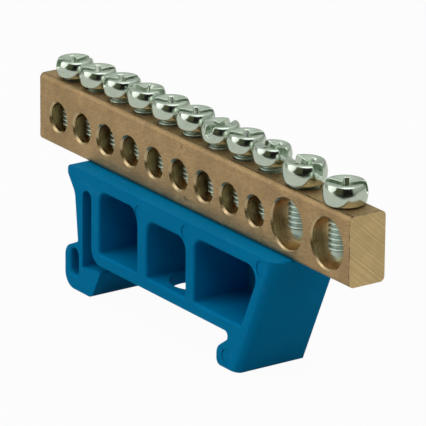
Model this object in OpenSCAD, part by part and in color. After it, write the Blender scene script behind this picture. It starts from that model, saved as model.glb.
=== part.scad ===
// Terminal strip: a drilled brass bar with a row of clamping screws,
// fixed on a moulded plastic holder that snaps onto a 35 mm mounting rail.
// The feet of the holder stand on Z = 0 and the bar runs along X.

/* [Brass bar] */
// Length of the bar along the row of terminals
bar_length = 82.5; // [80:0.5:110]
// Depth of the bar, front face to back face
bar_depth = 6.4; // [6:0.1:8]
// Height of the bar
bar_height = 11; // [10.5:0.1:14]
// Radius on the four long edges of the bar
bar_edge_r = 0.8; // [0.2:0.1:1.2]

/* [Wire holes] */
// Distance from the bar's left end to the first wire hole
first_inset = 5.15; // [4.5:0.05:6]
// Distance between neighbouring small wire holes
small_pitch = 6.67; // [6.5:0.01:7]
// Distance from the last small wire hole to the first large one
change_pitch = 8.25; // [7.8:0.05:9]
// Distance between the two large wire holes
large_pitch = 10.05; // [9.4:0.05:11]
// Diameter of a small wire hole
small_hole_d = 4.6; // [4.2:0.1:5]
// Diameter of a large wire hole
large_hole_d = 7.8; // [6.6:0.1:8.2]
// Height of the small wire holes' centre above the bar's underside
small_hole_rise = 4.95; // [4.8:0.05:5.4]
// Height of the large wire holes' centre above the bar's underside
large_hole_rise = 5.35; // [5:0.05:5.8]
// Countersink at the mouths of the small wire holes
small_hole_chamfer = 0.32; // [0.1:0.02:0.5]
// Countersink at the mouths of the large wire holes
large_hole_chamfer = 0.25; // [0.1:0.05:0.5]
// Depth of the tapping drill's mark below the floor of each small wire hole
drill_mark_h = 0.6; // [0.3:0.05:0.7]

/* [Small terminal screws] */
// Outer diameter of the small screws' thread
small_thread_d = 3.9; // [3.6:0.1:4]
// Pitch of the small screws' thread
small_thread_pitch = 0.7; // [0.6:0.05:0.8]
// Length of the plain tip of a small screw
small_tip_l = 0.6; // [0.3:0.05:0.8]
// Gap under the tip of the lowest small screw
small_tip_gap = 0.1; // [0.05:0.05:0.4]
// Diameter of a small screw's head
small_head_d = 6; // [5:0.1:6.2]
// Height of a small screw's head
small_head_h = 2.7; // [2.6:0.1:3.2]
// Width of the slot across a small screw's head
small_slot_w = 1.15; // [0.8:0.05:1.4]
// Gap under the head of the small screw that stands highest
small_stand = 1.2; // [1:0.05:1.4]

/* [Large terminal screws] */
// Outer diameter of the large screws' thread
large_thread_d = 4.9; // [4.5:0.1:5]
// Pitch of the large screws' thread
large_thread_pitch = 0.8; // [0.7:0.05:1]
// Length of the plain tip of a large screw
large_tip_l = 1; // [0.5:0.05:1.2]
// Gap under the tip of the lowest large screw
large_tip_gap = 0.5; // [0.3:0.05:1]
// Diameter of a large screw's head
large_head_d = 6.8; // [6:0.1:7]
// Height of a large screw's head
large_head_h = 3.3; // [3.2:0.1:3.8]
// Width of the slot across a large screw's head
large_slot_w = 1.3; // [1:0.05:1.6]
// Gap under the head of the large screw that stands highest
large_stand = 0.5; // [0.2:0.05:0.8]

/* [Screw fits] */
// Gap all round between a thread and the wall of its tapped hole
thread_clearance = 0.05; // [0.02:0.01:0.08]
// Depth of the thread
thread_depth = 0.38; // [0.3:0.02:0.42]

/* [Holder] */
// Distance from the bar's left end to the holder's left side
holder_inset = 11.7; // [9:0.1:14]
// Depth of the holder, front to back
holder_depth = 12.3; // [11:0.1:14]
// Height of the holder, from its feet to the bar
holder_height = 20.3; // [19.5:0.1:24]
// Height of the rail face above the feet
rail_face_h = 6; // [5.8:0.1:7]
// Thickness of the floor under the pockets
floor_t = 1.9; // [1.5:0.1:2.2]
// Thickness of the roof over the side pockets
roof_t = 2.05; // [1.6:0.05:2.6]
// Thickness of the roof over the middle pocket, where the fixing screw clamps it
seat_t = 3; // [2.6:0.1:3.4]
// Thickness of the web that closes the pockets at the back
web_t = 2.1; // [1.2:0.1:2.6]
// Thickness of the post left of the pockets
post_t = 2.1; // [1.6:0.05:3]
// Width of the left pocket
left_pocket_w = 10.45; // [9:0.05:12]
// Thickness of the rib between the left and middle pockets
left_rib_t = 2.65; // [2:0.05:3.5]
// Width of the middle pocket
middle_pocket_w = 10.35; // [10:0.05:12]
// Thickness of the rib between the middle and right pockets
right_rib_t = 2.45; // [2:0.05:3.5]
// Thickness of the leaning right wall, measured level
right_wall_t = 3.25; // [2.4:0.05:4]
// Lean of the right wall, in degrees
wall_lean = 24.2; // [15:0.1:26]
// Radius on the right wall's front edge
wall_front_r = 1.9; // [0.5:0.1:2]
// Radius on the right wall's back edge
wall_back_r = 0.8; // [0.5:0.1:2]
// Radius in the pockets' upper corners
pocket_r = 2; // [0.5:0.1:2.2]

/* [Rail fit] */
// Width of the mounting rail that the holder snaps onto
rail_w = 35; // [34.5:0.1:35.5]
// Play of the rail between the two hooks
rail_play = 0.3; // [0.1:0.1:0.8]
// Reach of the left hook past the frame
hook_reach = 2.6; // [2:0.1:3]
// Width of the rail's edge that the left hook grips
hook_grip = 0.9; // [0.5:0.1:1.4]
// Gap that the left hook leaves for the rail's edge
hook_gap = 1.05; // [1.05:0.05:1.3]
// Width of the rail's edge that the right nose grips
nose_grip = 2.85; // [2:0.05:3]
// Height of the notch above the right nose
notch_h = 1.25; // [1.2:0.05:1.6]
// Height of the right nose where its slanted top ends
nose_h = 2.75; // [2.25:0.05:2.9]
// Radius at the top of the right nose
nose_r = 1.95; // [1.2:0.05:2]
// Radius at the bottom of the right nose
nose_bottom_r = 1; // [0.8:0.05:1.5]
// Thickness of the right leg behind the notch, at the feet
leg_t = 3; // [2.8:0.1:4.5]

/* [Spring arm] */
// Width of the slot between the spring arm and the post
slot_w = 2.55; // [2:0.05:3.2]
// Depth of the roof above the slot's round end
slot_roof_t = 3; // [2.6:0.1:3.6]
// Thickness of the spring arm at its root
arm_root_t = 2.1; // [1.6:0.05:2.5]
// Thickness of the spring arm just above its foot
arm_tip_t = 1.25; // [1:0.05:1.6]
// Overhang of the holder's top past the spring arm
lip_w = 2; // [1:0.1:2.4]
// Height of the overhang, down to the spring arm
lip_h = 4.2; // [3.5:0.1:5]
// Height of the spring arm's foot
foot_h = 8.2; // [7.8:0.1:8.6]
// Width of the foot outside the spring arm
foot_w = 3.6; // [3:0.05:4.2]
// Wall left of the coring slot in the foot
core_wall_t = 1.5; // [1.2:0.1:2]
// Height of the coring slot
core_h = 4.4; // [3:0.1:4.8]
// Wall under the coring slot
core_floor_t = 2.3; // [1.8:0.1:2.6]

/* [Fixing screw] */
// Diameter of the screw that holds the bar on the holder
fixing_d = 3.9; // [3:0.1:4]
// Pitch of its thread
fixing_pitch = 0.7; // [0.5:0.05:0.8]
// Length of its thread in the bar
fixing_bite = 1.6; // [1.4:0.1:1.8]
// Length of its plain tip
fixing_tip_l = 0.5; // [0.3:0.05:0.6]
// Diameter of its head
fixing_head_d = 6.2; // [6:0.1:7.4]
// Height of its head
fixing_head_h = 2.2; // [1.8:0.1:2.6]
// Diameter of the driver's hole through the floor below it
access_d = 9; // [8:0.1:9.5]

/* [Hidden] */
$fn = 64;

small_count = 9;
large_count = 2;
// How far each screw stands up, as a share of the highest one's gap
small_stand_share = [0.43, 0.59, 0.82, 0.9, 0.86, 0.95, 0.81, 1, 1];
large_stand_share = [1, 0.28];
// How far each screw's slot is turned, in degrees from the row
small_turn = [78, 62, 70, 30, 55, 55, 104, 55, 1];
large_turn = [3, 45];

// Overrun that makes each cut pass clean through a face
overrun = 0.5;
// Clearance round the fixing screw and round its head in the holder
fixing_clearance = 0.15;
fixing_head_clearance = 0.1;
// Steps in each rounded corner of an outline, and in each half of a screw head's side and edge
corner_steps = 8;
barrel_steps = 6;
edge_steps = 4;

bar_bottom = holder_height;
bar_top = bar_bottom + bar_height;
bar_left = -bar_length / 2;
small_x = [for (i = [0:small_count - 1]) bar_left + first_inset + i * small_pitch];
large_x = [for (i = [0:large_count - 1])
    small_x[small_count - 1] + change_pitch + i * large_pitch];

// Points of an outline whose corners [x, z, radius] are rounded with arcs
function unit(v) = v / norm(v);
function flat(p) = [p[0], p[1]];
function corner(before, here, after) =
    let (
        a = unit(flat(before) - flat(here)),
        b = unit(flat(after) - flat(here)),
        half = acos(max(-1, min(1, a * b))) / 2,
        centre = flat(here) + unit(a + b) * here[2] / sin(half),
        start = flat(here) + a * here[2] / tan(half) - centre,
        end = flat(here) + b * here[2] / tan(half) - centre
    )
    here[2] == 0 ? [flat(here)] :
    [for (s = [0:corner_steps])
        let (t = s / corner_steps)
        centre + unit(start * sin((90 - half) * 2 * (1 - t)) + end * sin((90 - half) * 2 * t)) * here[2]];
function rounded(p) =
    let (n = len(p))
    [for (i = [0:n - 1]) each corner(p[(i + n - 1) % n], p[i], p[(i + 1) % n])];

// A bar along Y, drawn as an outline in X and Z
module along_y(depth) {
    translate([0, depth / 2, 0]) rotate([90, 0, 0]) linear_extrude(depth) children();
}

// The brass bar

module bar_blank() {
    translate([bar_left, 0, 0]) rotate([90, 0, 90]) linear_extrude(bar_length)
        polygon(rounded([
            [-bar_depth / 2, bar_bottom, bar_edge_r],
            [bar_depth / 2, bar_bottom, bar_edge_r],
            [bar_depth / 2, bar_top, bar_edge_r],
            [-bar_depth / 2, bar_top, bar_edge_r]
        ]));
}

// A wire hole through the bar, countersunk at both mouths
module wire_hole(d, chamfer) {
    rotate([90, 0, 0]) cylinder(d = d, h = bar_depth + 2 * overrun, center = true);
    for (side = [-1, 1])
        translate([0, side * bar_depth / 2, 0]) rotate([side * 90, 0, 0])
            translate([0, 0, -overrun])
                cylinder(d1 = d + 2 * (chamfer + overrun), d2 = d, h = chamfer + overrun);
}

// A tapped hole from the bar's top down through its wire hole's centre, ending that much below it
module tapped_hole(d, rise, below) {
    translate([0, 0, -below])
        cylinder(d = d + 2 * thread_clearance, h = bar_height - rise + below + overrun);
}

module busbar() {
    color([0.66, 0.52, 0.34])
    difference() {
        bar_blank();
        for (x = small_x) translate([x, 0, bar_bottom + small_hole_rise]) {
            wire_hole(small_hole_d, small_hole_chamfer);
            tapped_hole(small_thread_d, small_hole_rise, small_hole_d / 2 + drill_mark_h);
        }
        for (x = large_x) translate([x, 0, bar_bottom + large_hole_rise]) {
            wire_hole(large_hole_d, large_hole_chamfer);
            tapped_hole(large_thread_d, large_hole_rise, 0);
        }
        translate([fixing_x, 0, bar_bottom - overrun])
            cylinder(d = fixing_d + 2 * thread_clearance, h = fixing_bite + overrun + thread_clearance);
    }
}

// The terminal screws

// Shares of the head's size: foot, widest height, rim, edge round, dish, slot and cross recess
head_foot_share = 0.87;
head_waist_share = 0.46;
head_rim_share = 0.89;
head_edge_share = 0.08;
head_dish_width_share = 0.72;
head_dish_depth_share = 0.13;
slot_depth_share = 0.6;
cross_width_share = 0.75;
cross_reach_share = 0.66;
cross_depth_share = 0.72;
// Radii of a screw's plain tip at its flat end and at the thread, as shares of the thread's
tip_end_share = 0.7;
tip_top_share = 0.77;

// Heights of the lowest tips above the bar's underside when they touch the bar: a small one on
// its drill mark's floor, a large one with its end's edge on the wire hole's wall
small_tip_seat = small_hole_rise - small_hole_d / 2 - drill_mark_h;
large_tip_seat = large_hole_rise
    - sqrt(pow(large_hole_d / 2, 2) - pow(large_thread_d / 2 * tip_end_share, 2));

small_shank = bar_height + small_stand * min(small_stand_share) - small_tip_gap - small_tip_seat;
large_shank = bar_height + large_stand * min(large_stand_share) - large_tip_gap - large_tip_seat;

// Half section of a threaded shank that ends under the head at Z = 0, as rings over a plain tip
function thread_section(thread_d, pitch, shank, tip_l) =
    let (
        crest = thread_d / 2,
        root = crest - thread_depth,
        tip_end = -shank + tip_l,
        turns = floor((shank - tip_l) / pitch)
    )
    concat(
        [[0, -shank], [crest * tip_end_share, -shank], [crest * tip_top_share, tip_end]],
        [for (i = [0:turns - 1]) each [
            [root, tip_end + i * pitch],
            [crest, tip_end + (i + 0.5) * pitch]
        ]],
        [[root, tip_end + turns * pitch], [root, 0]]
    );

// Half section of a terminal screw with its barrel-shaped head
function screw_section(head_d, head_h, thread_d, pitch, shank, tip_l) =
    let (
        head_r = head_d / 2,
        edge = head_h * head_edge_share,
        waist = head_h * head_waist_share,
        rim_h = head_h - edge
    )
    concat(
        thread_section(thread_d, pitch, shank, tip_l),
        [for (s = [0:barrel_steps])
            let (t = s / barrel_steps)
            [head_r * (1 - (1 - head_foot_share) * pow(1 - t, 2)), waist * t]],
        [for (s = [1:barrel_steps])
            let (t = s / barrel_steps)
            [head_r * (1 - (1 - head_rim_share) * pow(t, 2)), waist + (rim_h - waist) * t]],
        [for (s = [1:edge_steps])
            let (t = 90 * s / edge_steps)
            [head_r * head_rim_share - edge * (1 - cos(t)), rim_h + edge * sin(t)]],
        [[head_r * head_dish_width_share, head_h], [0, head_h * (1 - head_dish_depth_share)]]
    );

// A cross recess sunk in a head, narrowing downwards
module cross_recess(head_d, head_h, wing_w) {
    intersection() {
        translate([0, 0, head_h * (1 - cross_depth_share)])
            cylinder(d1 = wing_w, d2 = head_d * cross_reach_share, h = head_h * cross_depth_share);
        for (turn = [0, 90]) rotate([0, 0, turn])
            translate([-head_d / 2, -wing_w / 2, 0]) cube([head_d, wing_w, head_h + overrun]);
    }
}

// The slot right across the head, with a round bottom
module drive_slot(head_d, head_h, slot_w) {
    slot_floor = head_h * (1 - slot_depth_share);
    translate([-head_d / 2 - overrun, -slot_w / 2, slot_floor + slot_w / 2])
        cube([head_d + 2 * overrun, slot_w, head_h]);
    translate([-head_d / 2 - overrun, 0, slot_floor + slot_w / 2]) rotate([0, 90, 0])
        cylinder(d = slot_w, h = head_d + 2 * overrun);
}

module terminal_screw(x, stand, turn, head_d, head_h, thread_d, pitch, shank, tip_l, slot_w) {
    color([0.78, 0.8, 0.78])
    translate([x, 0, bar_top + stand]) rotate([0, 0, turn])
        difference() {
            rotate_extrude() polygon(screw_section(head_d, head_h, thread_d, pitch, shank, tip_l));
            drive_slot(head_d, head_h, slot_w);
            cross_recess(head_d, head_h, slot_w * cross_width_share);
        }
}

module small_screw(i) {
    terminal_screw(small_x[i], small_stand * small_stand_share[i], small_turn[i],
        small_head_d, small_head_h, small_thread_d, small_thread_pitch, small_shank, small_tip_l,
        small_slot_w);
}

module large_screw(i) {
    terminal_screw(large_x[i], large_stand * large_stand_share[i], large_turn[i],
        large_head_d, large_head_h, large_thread_d, large_thread_pitch, large_shank, large_tip_l,
        large_slot_w);
}

// The holder, one moulding with a spring arm. Its outline is drawn in X and Z.

foot_left = bar_left + holder_inset;
arm_foot_x = foot_left + foot_w;
arm_inner = arm_foot_x + arm_tip_t;
arm_root_x = arm_inner - arm_root_t;
lip_left = arm_root_x - lip_w;
frame_left = arm_inner + slot_w;

hook_x = frame_left + hook_reach;
hook_z = rail_face_h - hook_gap;
notch_x = hook_x - hook_grip + rail_w + rail_play;
nose_x = notch_x - nose_grip;
wall_foot_x = notch_x + leg_t;

left_pocket_x = frame_left + post_t;
middle_pocket_x = left_pocket_x + left_pocket_w + left_rib_t;
right_pocket_x = middle_pocket_x + middle_pocket_w + right_rib_t;
pocket_floor = rail_face_h + floor_t;
pocket_roof = holder_height - roof_t;

fixing_x = middle_pocket_x + middle_pocket_w / 2;

// Rounded corners of the outline
lip_r = 0.8;
lip_edge_h = 1.5;
arm_bend_r = 3;
foot_crook_r = 0.4;
foot_shoulder_h = 1.7;
foot_top_r = 2.2;
foot_bottom_r = 2.4;
hook_heel_r = 1.2;
hook_tip_r = 0.3;
hook_slope = 0.7;
slot_r = slot_w * 0.49;
frame_corner_r = 2.3;
notch_r = notch_h * 0.6;
heel_r = 1.1;
top_corner_r = 0.4;
core_r = (foot_w - core_wall_t) * 0.49;
pocket_floor_r = 0.4;

// The middle pocket makes room for the fixing screw's head at its back and in its corners
pocket_back = holder_depth / 2 - web_t;
middle_pocket_back = max(pocket_back, fixing_head_d / 2 + fixing_head_clearance);
middle_pocket_r = min(pocket_r, (middle_pocket_w - fixing_head_d) / 2 - fixing_head_clearance);

// Round marks that the mould's ejector pins leave in the front face
pin_mark_d = 2.6;
pin_mark_t = 0.15;

// X of the right wall's outer face at a height
function wall_x(z) = wall_foot_x + z * tan(wall_lean);

module holder_outline() {
    polygon(rounded([
        [lip_left, holder_height, lip_r],
        [lip_left, holder_height - lip_edge_h, lip_r],
        [arm_root_x, holder_height - lip_h, arm_bend_r],
        [arm_foot_x, foot_h, foot_crook_r],
        [foot_left, foot_h - foot_shoulder_h, foot_top_r],
        [foot_left, 0, foot_bottom_r],
        [frame_left, 0, hook_heel_r],
        [hook_x, hook_z, hook_tip_r],
        [arm_inner, hook_z - hook_slope, hook_tip_r],
        [arm_inner, holder_height - slot_roof_t, slot_r],
        [frame_left, holder_height - slot_roof_t, slot_r],
        [frame_left, rail_face_h, frame_corner_r],
        [notch_x, rail_face_h, notch_r],
        [notch_x, rail_face_h - notch_h, notch_r],
        [nose_x, nose_h, nose_r],
        [nose_x, 0, nose_bottom_r],
        [wall_foot_x, 0, heel_r],
        [wall_x(holder_height), holder_height, top_corner_r]
    ]));
}

// The whole block that leans with the right wall and rounds its upright edges
module leaning_block() {
    translate([wall_foot_x, 0, 0]) rotate([0, wall_lean, 0])
        translate([0, 0, -bar_length]) linear_extrude(2 * bar_length)
            polygon(rounded([
                [-2 * bar_length, -holder_depth / 2, 0],
                [0, -holder_depth / 2, wall_front_r],
                [0, holder_depth / 2, wall_back_r],
                [-2 * bar_length, holder_depth / 2, 0]
            ]));
}

// A blind pocket from the front face to a back wall's face, its outline drawn in X and Z
module pocket(back) {
    translate([0, back - (holder_depth + overrun) / 2, 0]) along_y(holder_depth + overrun) children();
}

module pocket_outline(x, x_end, x_end_top, roof, r) {
    polygon(rounded([
        [x, pocket_floor, pocket_floor_r],
        [x_end, pocket_floor, pocket_floor_r],
        [x_end_top, roof, r],
        [x, roof, r]
    ]));
}

// One pin mark, its size a share of the common one
module pin_mark(x, z, size_share) {
    translate([x, pin_mark_t - holder_depth / 2, z]) rotate([90, 0, 0])
        cylinder(d = pin_mark_d * size_share, h = pin_mark_t + overrun);
}

module pin_marks() {
    pin_mark(wall_x(pocket_roof) - right_wall_t * 0.85, holder_height - roof_t * 0.88, 1);
    pin_mark(right_pocket_x - right_rib_t * 0.9, holder_height - roof_t * 0.93, 0.96);
    pin_mark(middle_pocket_x - left_rib_t * 0.77, holder_height - roof_t * 1.12, 0.85);
    pin_mark(notch_x - nose_grip * 0.1, nose_h * 0.68, 0.96);
}

module holder() {
    color([0.02, 0.4, 0.6])
    difference() {
        intersection() {
            along_y(holder_depth) holder_outline();
            leaning_block();
        }
        pocket(middle_pocket_back)
            pocket_outline(middle_pocket_x, middle_pocket_x + middle_pocket_w,
                middle_pocket_x + middle_pocket_w, holder_height - seat_t, middle_pocket_r);
        pocket(pocket_back) {
            pocket_outline(left_pocket_x, left_pocket_x + left_pocket_w,
                left_pocket_x + left_pocket_w, pocket_roof, pocket_r);
            pocket_outline(right_pocket_x, wall_x(pocket_floor) - right_wall_t,
                wall_x(pocket_roof) - right_wall_t, pocket_roof, pocket_r);
            polygon(rounded([
                [foot_left + core_wall_t, core_floor_t, core_r],
                [arm_foot_x, core_floor_t, core_r],
                [arm_foot_x, core_floor_t + core_h, core_r],
                [foot_left + core_wall_t, core_floor_t + core_h, core_r]
            ]));
        }
        pin_marks();
        translate([fixing_x, 0, rail_face_h - overrun]) cylinder(d = access_d, h = floor_t + 2 * overrun);
        translate([fixing_x, 0, holder_height - seat_t - overrun])
            cylinder(d = fixing_d + 2 * fixing_clearance, h = seat_t + 2 * overrun);
    }
}

// The screw that holds the bar, put in from below through the middle pocket

fixing_edge_share = 0.4;
fixing_cross_share = 0.62;

function fixing_section() =
    let (
        head_r = fixing_head_d / 2,
        edge = fixing_head_h * fixing_edge_share
    )
    concat(
        thread_section(fixing_d, fixing_pitch, seat_t + fixing_bite, fixing_tip_l),
        [[head_r, 0]],
        [for (s = [0:corner_steps])
            let (t = 90 * s / corner_steps)
            [head_r - edge * (1 - cos(t)), fixing_head_h - edge * (1 - sin(t))]],
        [[0, fixing_head_h]]
    );

module fixing_screw() {
    color([0.78, 0.8, 0.78])
    translate([fixing_x, 0, holder_height - seat_t]) mirror([0, 0, 1])
        difference() {
            rotate_extrude() polygon(fixing_section());
            cross_recess(fixing_head_d, fixing_head_h, fixing_d * fixing_cross_share / 2);
        }
}

busbar();
holder();
fixing_screw();
small_screw(0);  // terminal_screw_1
small_screw(1);  // terminal_screw_2
small_screw(2);  // terminal_screw_3
small_screw(3);  // terminal_screw_4
small_screw(4);  // terminal_screw_5
small_screw(5);  // terminal_screw_6
small_screw(6);  // terminal_screw_7
small_screw(7);  // terminal_screw_8
small_screw(8);  // terminal_screw_9
large_screw(0);  // main_screw_1
large_screw(1);  // main_screw_2
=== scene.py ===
"""A dressed terminal strip: a brass bar with eleven clamping screws on a blue plastic rail holder."""

import bpy
import bmesh
import math
from mathutils import Matrix, Vector


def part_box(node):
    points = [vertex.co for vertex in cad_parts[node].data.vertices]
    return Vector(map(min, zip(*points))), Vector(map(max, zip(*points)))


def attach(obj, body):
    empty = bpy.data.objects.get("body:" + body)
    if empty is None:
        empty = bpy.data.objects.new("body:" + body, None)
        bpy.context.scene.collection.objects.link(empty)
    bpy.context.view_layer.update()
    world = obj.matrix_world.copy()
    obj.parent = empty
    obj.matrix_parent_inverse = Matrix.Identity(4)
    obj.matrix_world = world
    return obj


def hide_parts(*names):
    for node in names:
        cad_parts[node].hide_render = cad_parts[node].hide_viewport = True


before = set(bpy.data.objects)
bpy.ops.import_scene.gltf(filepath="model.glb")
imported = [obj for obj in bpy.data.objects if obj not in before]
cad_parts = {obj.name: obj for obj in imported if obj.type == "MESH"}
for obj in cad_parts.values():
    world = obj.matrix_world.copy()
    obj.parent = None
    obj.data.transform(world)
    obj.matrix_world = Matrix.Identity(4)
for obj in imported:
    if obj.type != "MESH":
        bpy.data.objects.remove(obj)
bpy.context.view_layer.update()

# The view of the photograph
# A long lens from the right front, a little above the strip, with the strip
# filling the square picture from corner to corner.
MM = 0.001
view_azimuth = math.radians(55.01)
view_height = math.radians(19.32)
view_roll = math.radians(0.55)
view_distance = 791.6 * MM
view_aim = Vector((-22.42, 17.09, 9.48)) * MM

photo_camera = bpy.data.objects.new("photo_camera", bpy.data.cameras.new("photo_camera"))
photo_camera.data.lens = 422.9
photo_camera.data.sensor_width = 36
photo_camera.data.clip_start = 0.05
photo_camera.data.clip_end = 20
toward_camera = Vector((
    math.sin(view_azimuth) * math.cos(view_height),
    -math.cos(view_azimuth) * math.cos(view_height),
    math.sin(view_height)))
photo_camera.matrix_world = (
    Matrix.Translation(view_aim + toward_camera * view_distance)
    @ (-toward_camera).to_track_quat("-Z", "Y").to_matrix().to_4x4()
    @ Matrix.Rotation(view_roll, 4, "Z"))
bpy.context.scene.collection.objects.link(photo_camera)
bpy.context.scene.camera = photo_camera
bpy.context.scene.view_settings.view_transform = "Standard"

# The studio
# A white table in a pale room, lit by a soft key from the front left and a soft
# light from high on the right. The camera's side is dark, and bright metal shows it.
floor_half = 3.0
floor_drop = 0.03 * MM
floor_grey = (0.48, 0.48, 0.48, 1)
floor_sheen = (0.66, 0.67, 0.62, 1)
floor_dark = (0.02, 0.021, 0.016, 1)
dark_start = 0.12
dark_opening = 0.5
dark_blur = 0.04
camera_white = 0.96

# The floor lies a hair under the feet, so that no two faces share a place
floor_bm = bmesh.new()
bmesh.ops.create_grid(floor_bm, x_segments=1, y_segments=1, size=floor_half)
bmesh.ops.translate(floor_bm, vec=(0, 0, -floor_drop), verts=floor_bm.verts)
floor_mesh = bpy.data.meshes.new("studio_floor")
floor_bm.to_mesh(floor_mesh)
floor_bm.free()
floor = bpy.data.objects.new("studio_floor", floor_mesh)
bpy.context.scene.collection.objects.link(floor)

floor_paint = bpy.data.materials.new("studio_floor")
floor_paint.use_nodes = True
nodes = floor_paint.node_tree.nodes
links = floor_paint.node_tree.links
paint = nodes["Principled BSDF"]
paint.inputs["Base Color"].default_value = floor_grey
paint.inputs["Roughness"].default_value = 0.9
paint.inputs["Specular IOR Level"].default_value = 0.1
seen = nodes.new("ShaderNodeLightPath")

# Beyond a blunt wedge on the camera's side the table is dark, and only shiny metal shows that
spot = nodes.new("ShaderNodeTexCoord")
ahead = nodes.new("ShaderNodeVectorMath")
ahead.operation = "DOT_PRODUCT"
ahead.inputs[1].default_value = (math.sin(view_azimuth), -math.cos(view_azimuth), 0)
links.new(spot.outputs["Object"], ahead.inputs[0])
aside = nodes.new("ShaderNodeVectorMath")
aside.operation = "DOT_PRODUCT"
aside.inputs[1].default_value = (math.cos(view_azimuth), math.sin(view_azimuth), 0)
links.new(spot.outputs["Object"], aside.inputs[0])
off_side = nodes.new("ShaderNodeMath")
off_side.operation = "ABSOLUTE"
links.new(aside.outputs["Value"], off_side.inputs[0])
past_wedge = nodes.new("ShaderNodeMath")
past_wedge.operation = "MULTIPLY_ADD"
past_wedge.inputs[1].default_value = -dark_opening
links.new(off_side.outputs["Value"], past_wedge.inputs[0])
links.new(ahead.outputs["Value"], past_wedge.inputs[2])
dark_share = nodes.new("ShaderNodeMapRange")
dark_share.inputs["From Min"].default_value = dark_start
dark_share.inputs["From Max"].default_value = dark_start + dark_blur
links.new(past_wedge.outputs["Value"], dark_share.inputs["Value"])
sheen_colour = nodes.new("ShaderNodeMix")
sheen_colour.data_type = "RGBA"
sheen_colour.inputs["A"].default_value = floor_sheen
sheen_colour.inputs["B"].default_value = floor_dark
links.new(dark_share.outputs["Result"], sheen_colour.inputs["Factor"])
sheen = nodes.new("ShaderNodeEmission")
links.new(sheen_colour.outputs["Result"], sheen.inputs["Color"])
shown = nodes.new("ShaderNodeMixShader")
links.new(seen.outputs["Is Glossy Ray"], shown.inputs["Fac"])
links.new(paint.outputs["BSDF"], shown.inputs[1])
links.new(sheen.outputs["Emission"], shown.inputs[2])

# The camera sees the floor nearly white, with a trace of the strip's shadow left
glow = nodes.new("ShaderNodeEmission")
glow.inputs["Color"].default_value = (1, 1, 1, 1)
white_share = nodes.new("ShaderNodeMath")
white_share.operation = "MULTIPLY"
white_share.inputs[1].default_value = camera_white
blend = nodes.new("ShaderNodeMixShader")
links.new(seen.outputs["Is Camera Ray"], white_share.inputs[0])
links.new(white_share.outputs["Value"], blend.inputs["Fac"])
links.new(shown.outputs["Shader"], blend.inputs[1])
links.new(glow.outputs["Emission"], blend.inputs[2])
links.new(blend.outputs["Shader"], nodes["Material Output"].inputs["Surface"])
floor.data.materials.append(floor_paint)

# Each dark part of the room: its azimuth, half its width and its colour
dark_parts = (
    (view_azimuth - math.radians(45), math.radians(32), (0.075, 0.08, 0.04, 1)),
    (view_azimuth + math.radians(12), math.radians(27), (0.008, 0.008, 0.007, 1)))
dark_side_blur = 0.15
dark_top = 0.62
dark_top_blur = 0.12
room_low = (0.26, 0.28, 0.24, 1)
room_middle = (0.42, 0.45, 0.41, 1)
room_high = (0.68, 0.72, 0.68, 1)

room = bpy.data.worlds.new("studio_room")
room.use_nodes = True
bpy.context.scene.world = room
nodes = room.node_tree.nodes
links = room.node_tree.links
direction = nodes.new("ShaderNodeTexCoord")
split = nodes.new("ShaderNodeSeparateXYZ")
links.new(direction.outputs["Generated"], split.inputs["Vector"])
height = nodes.new("ShaderNodeMapRange")
height.inputs["From Min"].default_value = -1
links.new(split.outputs["Z"], height.inputs["Value"])
room_colour = nodes.new("ShaderNodeValToRGB")
room_colour.color_ramp.elements[0].position = 0.5
room_colour.color_ramp.elements[0].color = room_low
room_colour.color_ramp.elements[1].position = 0.92
room_colour.color_ramp.elements[1].color = room_high
room_colour.color_ramp.elements.new(0.68).color = room_middle
links.new(height.outputs["Result"], room_colour.inputs["Fac"])
level = nodes.new("ShaderNodeVectorMath")
level.operation = "MULTIPLY"
level.inputs[1].default_value = (1, 1, 0)
links.new(direction.outputs["Generated"], level.inputs[0])
heading = nodes.new("ShaderNodeVectorMath")
heading.operation = "NORMALIZE"
links.new(level.outputs["Vector"], heading.inputs[0])
below_top = nodes.new("ShaderNodeMapRange")
below_top.interpolation_type = "SMOOTHSTEP"
below_top.inputs["From Min"].default_value = dark_top + dark_top_blur
below_top.inputs["From Max"].default_value = dark_top
links.new(split.outputs["Z"], below_top.inputs["Value"])
colour = room_colour.outputs["Color"]
for azimuth, half_width, dark_colour in dark_parts:
    toward = nodes.new("ShaderNodeVectorMath")
    toward.operation = "DOT_PRODUCT"
    toward.inputs[1].default_value = (math.sin(azimuth), -math.cos(azimuth), 0)
    links.new(heading.outputs["Vector"], toward.inputs[0])
    within = nodes.new("ShaderNodeMapRange")
    within.interpolation_type = "SMOOTHSTEP"
    within.inputs["From Min"].default_value = math.cos(half_width * (1 + dark_side_blur))
    within.inputs["From Max"].default_value = math.cos(half_width * (1 - dark_side_blur))
    links.new(toward.outputs["Value"], within.inputs["Value"])
    share = nodes.new("ShaderNodeMath")
    share.operation = "MULTIPLY"
    links.new(within.outputs["Result"], share.inputs[0])
    links.new(below_top.outputs["Result"], share.inputs[1])
    darker = nodes.new("ShaderNodeMix")
    darker.data_type = "RGBA"
    darker.inputs["B"].default_value = dark_colour
    links.new(share.outputs["Value"], darker.inputs["Factor"])
    links.new(colour, darker.inputs["A"])
    colour = darker.outputs["Result"]
links.new(colour, nodes["Background"].inputs["Color"])
nodes["Background"].inputs["Strength"].default_value = 1.1


def soft_lamp(name, azimuth, height, distance, size, power):
    lamp = bpy.data.objects.new(name, bpy.data.lights.new(name, "AREA"))
    lamp.data.shape = "DISK"
    lamp.data.size = size
    lamp.data.energy = power
    toward_lamp = Vector((
        math.sin(azimuth) * math.cos(height),
        -math.cos(azimuth) * math.cos(height),
        math.sin(height)))
    lamp.matrix_world = (
        Matrix.Translation(toward_lamp * distance)
        @ (-toward_lamp).to_track_quat("-Z", "Y").to_matrix().to_4x4())
    bpy.context.scene.collection.objects.link(lamp)


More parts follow.
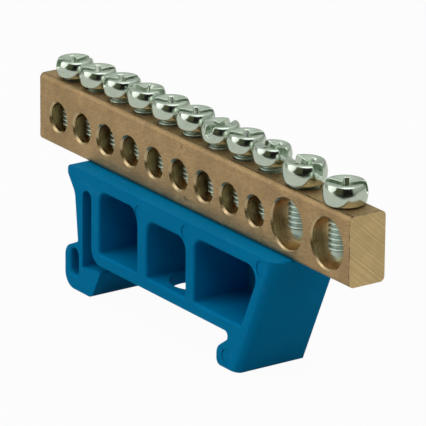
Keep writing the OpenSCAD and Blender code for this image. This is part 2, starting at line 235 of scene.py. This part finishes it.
soft_lamp(
    "key_lamp", azimuth=math.radians(-25), height=math.radians(24), distance=1.6, size=1.6, power=7.6)
soft_lamp(
    "side_lamp", azimuth=math.radians(75), height=math.radians(60), distance=1.6, size=1.6, power=6)


# The brass bar
# Drawn brass bar sawn to length, drilled for the wires and tapped for the
# screws. Its faces are dull, and the saw has left its lines on the ends.
bar_half_length = 41.25 * MM
bar_half_depth = 3.2 * MM
bar_edge_r = 0.8 * MM
bar_wear = 0.07 * MM
sink_depth = 0.3 * MM
same_point = 0.0005 * MM
same_plane = math.radians(1.2)
creased_angle = math.radians(32)
sharp_angle = math.radians(38)


def merged_copy(node, piece_name):
    """A copy of a CAD node's mesh as one closed shell with whole flat faces."""
    mesh_bm = bmesh.new()
    mesh_bm.from_mesh(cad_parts[node].data)
    bmesh.ops.remove_doubles(mesh_bm, verts=mesh_bm.verts, dist=same_point)
    bmesh.ops.dissolve_limit(
        mesh_bm, angle_limit=same_plane, verts=mesh_bm.verts, edges=mesh_bm.edges)
    mesh = bpy.data.meshes.new(piece_name)
    mesh_bm.to_mesh(mesh)
    mesh_bm.free()
    mesh.shade_smooth()
    mesh.set_sharp_from_angle(angle=creased_angle)
    piece = bpy.data.objects.new(piece_name, mesh)
    bpy.context.scene.collection.objects.link(piece)
    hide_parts(node)
    return piece


def soften_edges(piece, name, width):
    """Rounds the sharp edges of a piece a little, as wear or a mould does."""
    rounding = piece.modifiers.new(name, "BEVEL")
    rounding.width = width
    rounding.segments = 2
    rounding.limit_method = "ANGLE"
    rounding.angle_limit = sharp_angle
    rounding.harden_normals = True


def new_group(name, inputs, outputs):
    group = bpy.data.node_groups.new(name, "ShaderNodeTree")
    for socket, kind, value in inputs:
        made = group.interface.new_socket(name=socket, in_out="INPUT", socket_type=kind)
        made.default_value = value
    for socket, kind in outputs:
        group.interface.new_socket(name=socket, in_out="OUTPUT", socket_type=kind)
    return group, group.nodes.new("NodeGroupInput"), group.nodes.new("NodeGroupOutput")


# Fine grain of any direction, with a slow mottle and scattered specks. The
# fineness is the number of grains in a metre along each axis.
grain, grain_in, grain_out = new_group(
    "surface_grain",
    (("Fineness", "NodeSocketVector", (4000, 4000, 4000)),
     ("Mottle", "NodeSocketFloat", 250),
     ("Specks", "NodeSocketFloat", 900)),
    (("Grain", "NodeSocketFloat"), ("Mottle", "NodeSocketFloat"), ("Specks", "NodeSocketFloat")))
place = grain.nodes.new("ShaderNodeTexCoord")
stretch = grain.nodes.new("ShaderNodeVectorMath")
stretch.operation = "MULTIPLY"
grain.links.new(place.outputs["Object"], stretch.inputs[0])
grain.links.new(grain_in.outputs["Fineness"], stretch.inputs[1])
fine = grain.nodes.new("ShaderNodeTexNoise")
fine.inputs["Scale"].default_value = 1
fine.inputs["Detail"].default_value = 3
grain.links.new(stretch.outputs["Vector"], fine.inputs["Vector"])
grain.links.new(fine.outputs["Fac"], grain_out.inputs["Grain"])
slow = grain.nodes.new("ShaderNodeTexNoise")
slow.inputs["Detail"].default_value = 5
slow.inputs["Roughness"].default_value = 0.6
grain.links.new(place.outputs["Object"], slow.inputs["Vector"])
grain.links.new(grain_in.outputs["Mottle"], slow.inputs["Scale"])
grain.links.new(slow.outputs["Fac"], grain_out.inputs["Mottle"])
dots = grain.nodes.new("ShaderNodeTexNoise")
dots.inputs["Detail"].default_value = 1
grain.links.new(place.outputs["Object"], dots.inputs["Vector"])
grain.links.new(grain_in.outputs["Specks"], dots.inputs["Scale"])
speck = grain.nodes.new("ShaderNodeMapRange")
speck.inputs["From Min"].default_value = 0.74
speck.inputs["From Max"].default_value = 0.8
grain.links.new(dots.outputs["Fac"], speck.inputs["Value"])
grain.links.new(speck.outputs["Result"], grain_out.inputs["Specks"])

# Uneven parallel lines that a tool leaves. Across points over the lines, and its
# length is the number of lines in a metre.
tool, tool_in, tool_out = new_group(
    "tool_lines",
    (("Across", "NodeSocketVector", (0, 0, 4000)), ("Wobble", "NodeSocketFloat", 0.8)),
    (("Lines", "NodeSocketFloat"),))
spot = tool.nodes.new("ShaderNodeTexCoord")
count = tool.nodes.new("ShaderNodeVectorMath")
count.operation = "DOT_PRODUCT"
tool.links.new(spot.outputs["Object"], count.inputs[0])
tool.links.new(tool_in.outputs["Across"], count.inputs[1])
drift = tool.nodes.new("ShaderNodeTexNoise")
drift.inputs["Scale"].default_value = 200
tool.links.new(spot.outputs["Object"], drift.inputs["Vector"])
bent = tool.nodes.new("ShaderNodeMath")
bent.operation = "MULTIPLY_ADD"
tool.links.new(drift.outputs["Fac"], bent.inputs[0])
tool.links.new(tool_in.outputs["Wobble"], bent.inputs[1])
tool.links.new(count.outputs["Value"], bent.inputs[2])
rows = tool.nodes.new("ShaderNodeTexNoise")
rows.noise_dimensions = "1D"
rows.inputs["Scale"].default_value = 1
rows.inputs["Detail"].default_value = 2
tool.links.new(bent.outputs["Value"], rows.inputs["W"])
tool.links.new(rows.outputs["Fac"], tool_out.inputs["Lines"])


def grained(name, fineness, mottle, specks):
    """A new material whose shader stands beside one surface_grain node."""
    material = bpy.data.materials.new(name)
    material.use_nodes = True
    marks = material.node_tree.nodes.new("ShaderNodeGroup")
    marks.node_tree = grain
    marks.inputs["Fineness"].default_value = fineness
    marks.inputs["Mottle"].default_value = mottle
    marks.inputs["Specks"].default_value = specks
    return material, material.node_tree.nodes["Principled BSDF"], marks


def feed(material, socket, value):
    """Links a value to a socket of the material's shader."""
    material.node_tree.links.new(value, material.node_tree.nodes["Principled BSDF"].inputs[socket])


def colour_ramp(material, value, low, low_colour, high, high_colour):
    ramp = material.node_tree.nodes.new("ShaderNodeValToRGB")
    ramp.color_ramp.elements[0].position = low
    ramp.color_ramp.elements[0].color = low_colour
    ramp.color_ramp.elements[1].position = high
    ramp.color_ramp.elements[1].color = high_colour
    material.node_tree.links.new(value, ramp.inputs["Fac"])
    return ramp.outputs["Color"]


def remap(material, value, low, high, to_low, to_high):
    scale = material.node_tree.nodes.new("ShaderNodeMapRange")
    scale.inputs["From Min"].default_value = low
    scale.inputs["From Max"].default_value = high
    scale.inputs["To Min"].default_value = to_low
    scale.inputs["To Max"].default_value = to_high
    material.node_tree.links.new(value, scale.inputs["Value"])
    return scale.outputs["Result"]


def times(material, first, second):
    product = material.node_tree.nodes.new("ShaderNodeMath")
    product.operation = "MULTIPLY"
    material.node_tree.links.new(first, product.inputs[0])
    material.node_tree.links.new(second, product.inputs[1])
    return product.outputs["Value"]


def tinted(material, share, base, tint):
    """A colour that goes from base to one plain tint as the share goes to 1."""
    mix = material.node_tree.nodes.new("ShaderNodeMix")
    mix.data_type = "RGBA"
    mix.inputs["B"].default_value = tint
    material.node_tree.links.new(share, mix.inputs["Factor"])
    material.node_tree.links.new(base, mix.inputs["A"])
    return mix.outputs["Result"]


def bumped(material, height, distance):
    bump = material.node_tree.nodes.new("ShaderNodeBump")
    bump.inputs["Strength"].default_value = 1
    bump.inputs["Distance"].default_value = distance
    material.node_tree.links.new(height, bump.inputs["Height"])
    feed(material, "Normal", bump.outputs["Normal"])


def lines_across(material, direction, pitch, wobble):
    """Puts a tool_lines node in a material, with its lines a pitch apart."""
    marks = material.node_tree.nodes.new("ShaderNodeGroup")
    marks.node_tree = tool
    marks.inputs["Across"].default_value = Vector(direction).normalized() / pitch
    marks.inputs["Wobble"].default_value = wobble
    return marks.outputs["Lines"]


# Drawn faces: brown, streaked along the bar, with dark grains and a few specks
drawn_brass, shader, marks = grained("brass_drawn", fineness=(1400, 4800, 4800), mottle=230, specks=700)
shader.inputs["Metallic"].default_value = 1
drawn_colour = colour_ramp(
    drawn_brass, marks.outputs["Mottle"],
    low=0.35, low_colour=(0.46, 0.31, 0.16, 1), high=0.65, high_colour=(0.61, 0.415, 0.215, 1))
grain_share = remap(drawn_brass, marks.outputs["Grain"], low=0.34, high=0.62, to_low=0.5, to_high=0)
drawn_colour = tinted(drawn_brass, grain_share, drawn_colour, (0.27, 0.165, 0.09, 1))
speck_share = remap(drawn_brass, marks.outputs["Specks"], low=0, high=1, to_low=0, to_high=0.5)
drawn_colour = tinted(drawn_brass, speck_share, drawn_colour, (0.12, 0.08, 0.04, 1))

# Painted shade: a dark line where the front edge's rounding meets the top, the shadow of a burr in that
# crease, stronger to the right
burr_shade_y = -2.62 * MM
burr_shade_z = 31.1 * MM
burr_shade_half = 0.2 * MM
burr_shade_depth = 0.1 * MM
burr_shade_reach = 20 * MM
painted_shade_brown = (0.07, 0.04, 0.02, 1)
bar_place = drawn_brass.node_tree.nodes.new("ShaderNodeTexCoord")
bar_axes = drawn_brass.node_tree.nodes.new("ShaderNodeSeparateXYZ")
drawn_brass.node_tree.links.new(bar_place.outputs["Object"], bar_axes.inputs["Vector"])
painted_burr_shade = remap(drawn_brass, bar_axes.outputs["Y"], burr_shade_y, burr_shade_y + burr_shade_half, to_low=1, to_high=0)
for value, low, high, to_low in (
        (bar_axes.outputs["Y"], burr_shade_y - burr_shade_half, burr_shade_y, 0),
        (bar_axes.outputs["Z"], burr_shade_z - burr_shade_depth, burr_shade_z, 0),
        (bar_axes.outputs["X"], -burr_shade_reach, burr_shade_reach, 0.55),
        (marks.outputs["Mottle"], 0.4, 0.6, 0.4)):
    painted_burr_shade = times(drawn_brass, painted_burr_shade, remap(drawn_brass, value, low, high, to_low, to_high=1))
# The painted burr shade darkens the drawn colour here
drawn_colour = tinted(drawn_brass, painted_burr_shade, drawn_colour, painted_shade_brown)

# Painted shade: a broken dark line round each end, the shadow of the burr where the saw has torn the
# edge
torn_shade_start = 0.3 * MM
torn_shade_full = 0.1 * MM
torn_shade_marks = drawn_brass.node_tree.nodes.new("ShaderNodeGroup")
torn_shade_marks.node_tree = grain
torn_shade_marks.inputs["Mottle"].default_value = 900
from_middle = drawn_brass.node_tree.nodes.new("ShaderNodeMath")
from_middle.operation = "ABSOLUTE"
drawn_brass.node_tree.links.new(bar_axes.outputs["X"], from_middle.inputs[0])
near_end = remap(
    drawn_brass, from_middle.outputs["Value"],
    low=bar_half_length - torn_shade_start, high=bar_half_length - torn_shade_full, to_low=0, to_high=0.8)
painted_torn_shade = times(
    drawn_brass, near_end,
    remap(drawn_brass, torn_shade_marks.outputs["Mottle"], low=0.44, high=0.54, to_low=0, to_high=1))
# The painted shade of the torn edge darkens the drawn colour here
drawn_colour = tinted(drawn_brass, painted_torn_shade, drawn_colour, painted_shade_brown)
feed(drawn_brass, "Base Color", drawn_colour)
feed(drawn_brass, "Roughness", remap(
    drawn_brass, marks.outputs["Grain"], low=0.3, high=0.7, to_low=0.42, to_high=0.6))
bumped(drawn_brass, marks.outputs["Grain"], distance=0.02 * MM)

# Sawn ends: lighter, with the saw's slanting lines
saw_fall = math.radians(41)
sawn_brass, shader, marks = grained("brass_sawn", fineness=(5000, 5000, 5000), mottle=300, specks=900)
shader.inputs["Metallic"].default_value = 1
saw_lines = lines_across(
    sawn_brass, direction=(0, math.sin(saw_fall), math.cos(saw_fall)), pitch=0.24 * MM, wobble=0.8)
sawn_colour = colour_ramp(
    sawn_brass, saw_lines,
    low=0.3, low_colour=(0.62, 0.44, 0.22, 1), high=0.7, high_colour=(0.79, 0.585, 0.31, 1))
dull_share = remap(sawn_brass, marks.outputs["Mottle"], low=0.4, high=0.7, to_low=0, to_high=0.4)
feed(sawn_brass, "Base Color", tinted(sawn_brass, dull_share, sawn_colour, (0.42, 0.33, 0.16, 1)))
feed(sawn_brass, "Roughness", remap(sawn_brass, saw_lines, low=0.3, high=0.7, to_low=0.5, to_high=0.36))
bumped(sawn_brass, saw_lines, distance=0.04 * MM)

# Drilled walls: uneven and shinier, with rings round the hole
drilled_brass, shader, marks = grained(
    "brass_drilled", fineness=(3000, 3000, 3000), mottle=400, specks=900)
shader.inputs["Metallic"].default_value = 1
drill_rings = lines_across(drilled_brass, direction=(0, 1, 0), pitch=0.16 * MM, wobble=0.6)
feed(drilled_brass, "Base Color", colour_ramp(
    drilled_brass, marks.outputs["Mottle"],
    low=0.38, low_colour=(0.46, 0.30, 0.15, 1), high=0.62, high_colour=(0.78, 0.57, 0.31, 1)))
feed(drilled_brass, "Roughness", remap(
    drilled_brass, drill_rings, low=0.3, high=0.7, to_low=0.24, to_high=0.42))
bumped(drilled_brass, drill_rings, distance=0.03 * MM)

# Countersinks: a clean bright cut
cut_brass, shader, marks = grained(
    "brass_countersunk", fineness=(3000, 3000, 3000), mottle=400, specks=900)
shader.inputs["Metallic"].default_value = 1
feed(cut_brass, "Base Color", colour_ramp(
    cut_brass, marks.outputs["Mottle"],
    low=0.35, low_colour=(0.50, 0.37, 0.21, 1), high=0.7, high_colour=(0.64, 0.485, 0.29, 1)))
feed(cut_brass, "Roughness", remap(
    cut_brass, marks.outputs["Grain"], low=0.3, high=0.7, to_low=0.22, to_high=0.34))
bumped(cut_brass, marks.outputs["Grain"], distance=0.01 * MM)

# Each face takes its finish from where it lies and which way it looks
bar_low, bar_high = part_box("busbar")
bar = merged_copy("busbar", "brass_bar")
bar_finishes = (drawn_brass, sawn_brass, drilled_brass, cut_brass)
face_slack = 0.015 * MM
end_facing = 0.9
sink_facing_least = 0.3
sink_facing_most = 0.95
round_along_most = 0.01
round_lean_least = 0.02
for finish in bar_finishes:
    bar.data.materials.append(finish)
for face in bar.data.polygons:
    facing = Vector([abs(share) for share in face.normal])
    along = abs(face.center.x)
    across = abs(face.center.y)
    to_flat = min(bar_high[2] - face.center.z, face.center.z - bar_low[2])
    on_end = facing.x > end_facing and along > bar_half_length - bar_edge_r / 2
    on_flat = across > bar_half_depth - face_slack or to_flat < face_slack
    on_round = (
        facing.x < round_along_most and facing.y * facing.z > round_lean_least
        and across > bar_half_depth - bar_edge_r and to_flat < bar_edge_r)
    on_sink = (
        across > bar_half_depth - sink_depth and sink_facing_least < facing.y < sink_facing_most)
    if on_end:
        finish = sawn_brass
    elif on_flat or on_round:
        finish = drawn_brass
    elif on_sink:
        finish = cut_brass
    else:
        finish = drilled_brass
    face.material_index = bar_finishes.index(finish)
soften_edges(bar, "worn_edges", bar_wear)
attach(bar, "strip")


# The holder
# One moulding in blue plastic with a spring arm on its left. The mould leaves
# soft edges, a satin skin and the faint rings of its ejector pins.
blue, shader, marks = grained("blue_plastic", fineness=(2500, 2500, 2500), mottle=90, specks=900)
shader.inputs["Roughness"].default_value = 0.46
shader.inputs["Specular IOR Level"].default_value = 0.015
shader.inputs["Subsurface Weight"].default_value = 0.3
shader.inputs["Subsurface Radius"].default_value = (0.1, 0.6, 1.0)
shader.inputs["Subsurface Scale"].default_value = 0.9 * MM
blue_colour = colour_ramp(
    blue, marks.outputs["Mottle"],
    low=0.35, low_colour=(0.0, 0.195, 0.43, 1), high=0.65, high_colour=(0.0, 0.216, 0.462, 1))
dust_share = remap(blue, marks.outputs["Specks"], low=0, high=1, to_low=0, to_high=0.12)
feed(blue, "Base Color", tinted(blue, dust_share, blue_colour, (0.2, 0.4, 0.55, 1)))
bumped(blue, marks.outputs["Grain"], distance=0.012 * MM)

# The mouths of the pockets are rounder than the other edges. Where a pocket cuts
# an ejector pin's ring, the rounding fades out over a millimetre.
mouth_r = 0.4 * MM
moulded_r = 0.06 * MM
pocket_depth = 10.2 * MM
depth_slack = 0.3 * MM
ring_depth = 0.16 * MM
cut_ring = Vector((-8.99 * MM, 0, 18 * MM))
cut_ring_r = 1.15 * MM
fade_length = 1 * MM
front_facing = -0.9

holder = merged_copy("holder", "rail_holder")
holder.data.materials.append(blue)
holder_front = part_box("holder")[0][1]
edges_bm = bmesh.new()
edges_bm.from_mesh(holder.data)
share_of_r = edges_bm.edges.layers.float.new("bevel_weight_edge")
for edge in edges_bm.edges:
    walls = [face for face in edge.link_faces if face.normal.y > front_facing]
    if len(walls) == 1 and max(vert.co.y for vert in edge.verts) < holder_front + ring_depth:
        wall_depth = max(vert.co.y for vert in walls[0].verts) - holder_front
        in_pocket = abs(wall_depth - pocket_depth) < depth_slack
        if in_pocket and edge.calc_face_angle() > sharp_angle:
            middle = (edge.verts[0].co + edge.verts[1].co) / 2
            from_ring = math.hypot(middle.x - cut_ring.x, middle.z - cut_ring.z) - cut_ring_r
            edge[share_of_r] = min(1, max(0, from_ring / fade_length))
edges_bm.to_mesh(holder.data)
edges_bm.free()
soft_mouths = holder.modifiers.new("soft_mouths", "BEVEL")
soft_mouths.width = mouth_r
soft_mouths.segments = 4
soft_mouths.limit_method = "WEIGHT"
soft_mouths.use_clamp_overlap = False
soften_edges(holder, "moulded_edges", moulded_r)
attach(holder, "strip")


# The terminal screws
# Cold-headed steel screws in bright zinc plate, nine small and two large. Each
# head is barrel-shaped, with a slot across and a cross recess in a dished top.
zinc, shader, marks = grained("zinc_plate", fineness=(900, 900, 900), mottle=500, specks=1200)
shader.inputs["Metallic"].default_value = 1
zinc_colour = colour_ramp(
    zinc, marks.outputs["Mottle"],
    low=0.35, low_colour=(0.57, 0.64, 0.56, 1), high=0.65, high_colour=(0.67, 0.74, 0.65, 1))
pit_share = remap(zinc, marks.outputs["Specks"], low=0, high=1, to_low=0, to_high=0.4)
feed(zinc, "Base Color", tinted(zinc, pit_share, zinc_colour, (0.3, 0.32, 0.28, 1)))
feed(zinc, "Roughness", remap(
    zinc, marks.outputs["Mottle"], low=0.35, high=0.65, to_low=0.12, to_high=0.2))
bumped(zinc, marks.outputs["Grain"], distance=0.012 * MM)

rolled_zinc, shader, marks = grained(
    "zinc_on_threads", fineness=(2500, 2500, 2500), mottle=900, specks=1500)
shader.inputs["Metallic"].default_value = 1
feed(rolled_zinc, "Base Color", colour_ramp(
    rolled_zinc, marks.outputs["Mottle"],
    low=0.35, low_colour=(0.42, 0.50, 0.45, 1), high=0.65, high_colour=(0.54, 0.64, 0.57, 1)))
feed(rolled_zinc, "Roughness", remap(
    rolled_zinc, marks.outputs["Mottle"], low=0.35, high=0.65, to_low=0.36, to_high=0.48))
bumped(rolled_zinc, marks.outputs["Grain"], distance=0.01 * MM)

# Outline of a head from its foot to the middle of its dished top, as shares of
# its radius and its height
head_outline_shares = (
    (0.0, 0.0), (0.86, 0.0), (0.897, 0.012), (0.925, 0.045), (0.95, 0.11), (0.973, 0.21),
    (0.991, 0.33), (1.0, 0.46), (0.996, 0.57), (0.982, 0.68), (0.96, 0.79), (0.93, 0.88),
    (0.905, 0.94), (0.875, 0.98), (0.83, 1.0), (0.77, 1.0), (0.68, 0.985), (0.55, 0.95),
    (0.4, 0.905), (0.2, 0.87), (0.0, 0.86))
head_steps = 96


def spun(mesh_bm, points, turn_steps):
    """Spins an outline of (radius, height) points round Z into a closed shell."""
    verts = [mesh_bm.verts.new((radius, 0, height)) for radius, height in points]
    edges = [mesh_bm.edges.new(pair) for pair in zip(verts, verts[1:])]
    bmesh.ops.spin(
        mesh_bm, geom=verts + edges, cent=(0, 0, 0), axis=(0, 0, 1), dvec=(0, 0, 0),
        angle=2 * math.pi, steps=turn_steps, use_merge=True, use_duplicate=False)
    bmesh.ops.remove_doubles(mesh_bm, verts=mesh_bm.verts, dist=0.001 * MM)
    bmesh.ops.recalc_face_normals(mesh_bm, faces=mesh_bm.faces)


def as_object(mesh_bm, name):
    mesh = bpy.data.meshes.new(name)
    mesh_bm.to_mesh(mesh)
    mesh_bm.free()
    made = bpy.data.objects.new(name, mesh)
    bpy.context.scene.collection.objects.link(made)
    return made


def slot_cutter(head_d, head_h, slot_w):
    """A bar with a rounded underside that flares a little towards its top."""
    slot_floor = head_h * 0.4
    slot_top = head_h * 1.2
    flare = 1.3
    arc_steps = 10
    outline = []
    for i in range(arc_steps + 1):
        angle = math.pi * (i / arc_steps - 0.5)
        outline.append((slot_w / 2 * math.sin(angle), slot_floor + slot_w / 2 * (1 - math.cos(angle))))
    outline += [(slot_w / 2 * flare, slot_top), (-slot_w / 2 * flare, slot_top)]
    cutter_bm = bmesh.new()
    face = cutter_bm.faces.new([cutter_bm.verts.new((-head_d, across, up)) for across, up in outline])
    grown = bmesh.ops.extrude_face_region(cutter_bm, geom=[face])
    bmesh.ops.translate(
        cutter_bm, vec=(2 * head_d, 0, 0),
        verts=[made for made in grown["geom"] if isinstance(made, bmesh.types.BMVert)])
    bmesh.ops.recalc_face_normals(cutter_bm, faces=cutter_bm.faces)
    return as_object(cutter_bm, "slot_cutter")


def cross_cutter(head_d, head_h, slot_w):
    """A wing across the slot that narrows downwards."""
    wing_size = (slot_w * 0.78, head_d * 0.66, head_h * 0.75)
    wing_middle = head_h * 0.72
    foot_width = 0.8
    foot_length = 0.5
    wing_bm = bmesh.new()
    bmesh.ops.create_cube(wing_bm, size=1)
    bmesh.ops.scale(wing_bm, vec=wing_size, verts=wing_bm.verts)
    bmesh.ops.translate(wing_bm, vec=(0, 0, wing_middle), verts=wing_bm.verts)
    for vert in wing_bm.verts:
        if vert.co.z < wing_middle:
            vert.co.x *= foot_width
            vert.co.y *= foot_length
    return as_object(wing_bm, "cross_cutter")


def head_mesh(head_d, head_h, slot_w):
    """A head with its slot and cross cut in, and the soft edges that cold heading leaves."""
    head_bm = bmesh.new()
    spun(head_bm, [(r * head_d / 2, z * head_h) for r, z in head_outline_shares], head_steps)
    head = as_object(head_bm, "head")
    cutters = [slot_cutter(head_d, head_h, slot_w), cross_cutter(head_d, head_h, slot_w)]
    for cutter in cutters:
        cut = head.modifiers.new("cut", "BOOLEAN")
        cut.operation = "DIFFERENCE"
        cut.solver = "EXACT"
        cut.object = cutter
    skin = head.modifiers.new("skin", "REMESH")
    skin.mode = "VOXEL"
    skin.voxel_size = 0.085 * MM
    skin.use_smooth_shade = True
    melt = head.modifiers.new("melt", "SMOOTH")
    melt.factor = 0.5
    melt.iterations = 5
    bpy.context.view_layer.update()
    finished = bpy.data.meshes.new_from_object(
        head.evaluated_get(bpy.context.evaluated_depsgraph_get()))
    for gone in [head] + cutters:
        bpy.data.objects.remove(gone)
    return finished


# The threads: both sizes have the same depth, and the same tip for their radius
thread_depth = 0.38 * MM
thread_crest_round = 0.04 * MM
thread_bite = 0.1 * MM
thread_gap = 0.02 * MM
tip_end_share = 0.7
tip_top_share = 0.77
tip_edge = 0.08 * MM
into_head = 0.3 * MM
turns_spared = 0.5
core_steps = 48
thread_steps = 36
thread_crease = math.radians(40)


def shank_mesh(thread_d, pitch, shank, tip_l):
    """A core with a plain tip, and one right-handed ridge wound round it."""
    crest = thread_d / 2
    root = crest - thread_depth
    flank = root + 0.45 * thread_depth
    shank_bm = bmesh.new()
    spun(shank_bm, [
        (0, -shank),
        (crest * tip_end_share - tip_edge, -shank),
        (crest * tip_end_share, -shank + tip_edge),
        (crest * tip_top_share, -shank + tip_l),
        (root, -shank + tip_l),
        (root, into_head),
        (0, into_head)], core_steps)
    turns = (shank - tip_l) / pitch - turns_spared
    start = -shank + tip_l + thread_gap

    # The ridge's outline, as a radius and a share of the pitch
    ridge = (
        (root - thread_bite, 0.02), (root, 0.08), (flank, 0.24), (crest - thread_crest_round, 0.38),
        (crest, 0.5),
        (crest - thread_crest_round, 0.62), (flank, 0.76), (root, 0.92), (root - thread_bite, 0.98))
    face = shank_bm.faces.new(
        [shank_bm.verts.new((radius, 0, start + share * pitch)) for radius, share in ridge])
    bmesh.ops.spin(
        shank_bm, geom=[face] + list(face.verts) + list(face.edges), cent=(0, 0, 0), axis=(0, 0, 1),
        dvec=(0, 0, pitch / thread_steps), angle=2 * math.pi * turns, steps=round(turns * thread_steps),
        use_merge=False, use_duplicate=False)
    bmesh.ops.recalc_face_normals(shank_bm, faces=shank_bm.faces)
    mesh = bpy.data.meshes.new("shank")
    shank_bm.to_mesh(mesh)
    shank_bm.free()
    mesh.shade_smooth()
    mesh.set_sharp_from_angle(angle=thread_crease)
    return mesh


def screw_mesh(name, head, shank):
    """A head and its shank in one mesh, the shank in the second material."""
    both = bmesh.new()
    both.from_mesh(head)
    on_head = len(both.faces)
    both.from_mesh(shank)
    both.faces.ensure_lookup_table()
    for face in both.faces[on_head:]:
        face.material_index = 1
    mesh = bpy.data.meshes.new(name)
    both.to_mesh(mesh)
    both.free()
    return mesh


def drive_in(piece_name, node, mesh, turn, stand):
    """Places a screw over its bore, turned and standing out of the bar."""
    low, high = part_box(node)
    bore_x = (low[0] + high[0]) / 2
    screw = bpy.data.objects.new(piece_name, mesh.copy())
    screw.data.transform(
        Matrix.Translation((bore_x, 0, bar_high[2] + stand)) @ Matrix.Rotation(turn, 4, "Z"))
    screw.data.materials.append(zinc)
    screw.data.materials.append(rolled_zinc)
    bpy.context.scene.collection.objects.link(screw)
    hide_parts(node)
    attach(screw, node)


# Each screw's turn in degrees, and how far its head stands off the bar in mm
small_turns = (78, 62, 70, 30, 55, 55, 104, 55, 1)
small_stands = (0.516, 0.708, 0.984, 1.08, 1.032, 1.14, 0.972, 1.2, 1.2)
small_screw = screw_mesh(
    "small_screw",
    head_mesh(head_d=6 * MM, head_h=2.7 * MM, slot_w=1.15 * MM),
    shank_mesh(thread_d=3.9 * MM, pitch=0.7 * MM, shank=9.366 * MM, tip_l=0.6 * MM))
for i, (turn, stand) in enumerate(zip(small_turns, small_stands), start=1):
    drive_in(
        "small_clamp_screw_%d" % i, "terminal_screw_%d" % i, small_screw,
        turn=math.radians(turn), stand=stand * MM)

large_turns = (3, 45)
large_stands = (0.5, 0.14)
large_screw = screw_mesh(
    "large_screw",
    head_mesh(head_d=6.8 * MM, head_h=3.3 * MM, slot_w=1.3 * MM),
    shank_mesh(thread_d=4.9 * MM, pitch=0.8 * MM, shank=8.793 * MM, tip_l=1 * MM))
for i, (turn, stand) in enumerate(zip(large_turns, large_stands), start=1):
    drive_in(
        "large_clamp_screw_%d" % i, "main_screw_%d" % i, large_screw,
        turn=math.radians(turn), stand=stand * MM)

# The fixing screw
# A small screw of the same plated steel. It goes in last, from below through the
# hole in the middle pocket's floor, and holds the bar on the holder.
fixing = merged_copy("fixing_screw", "bar_fixing_screw")
fixing.data.materials.append(zinc)
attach(fixing, "strip")
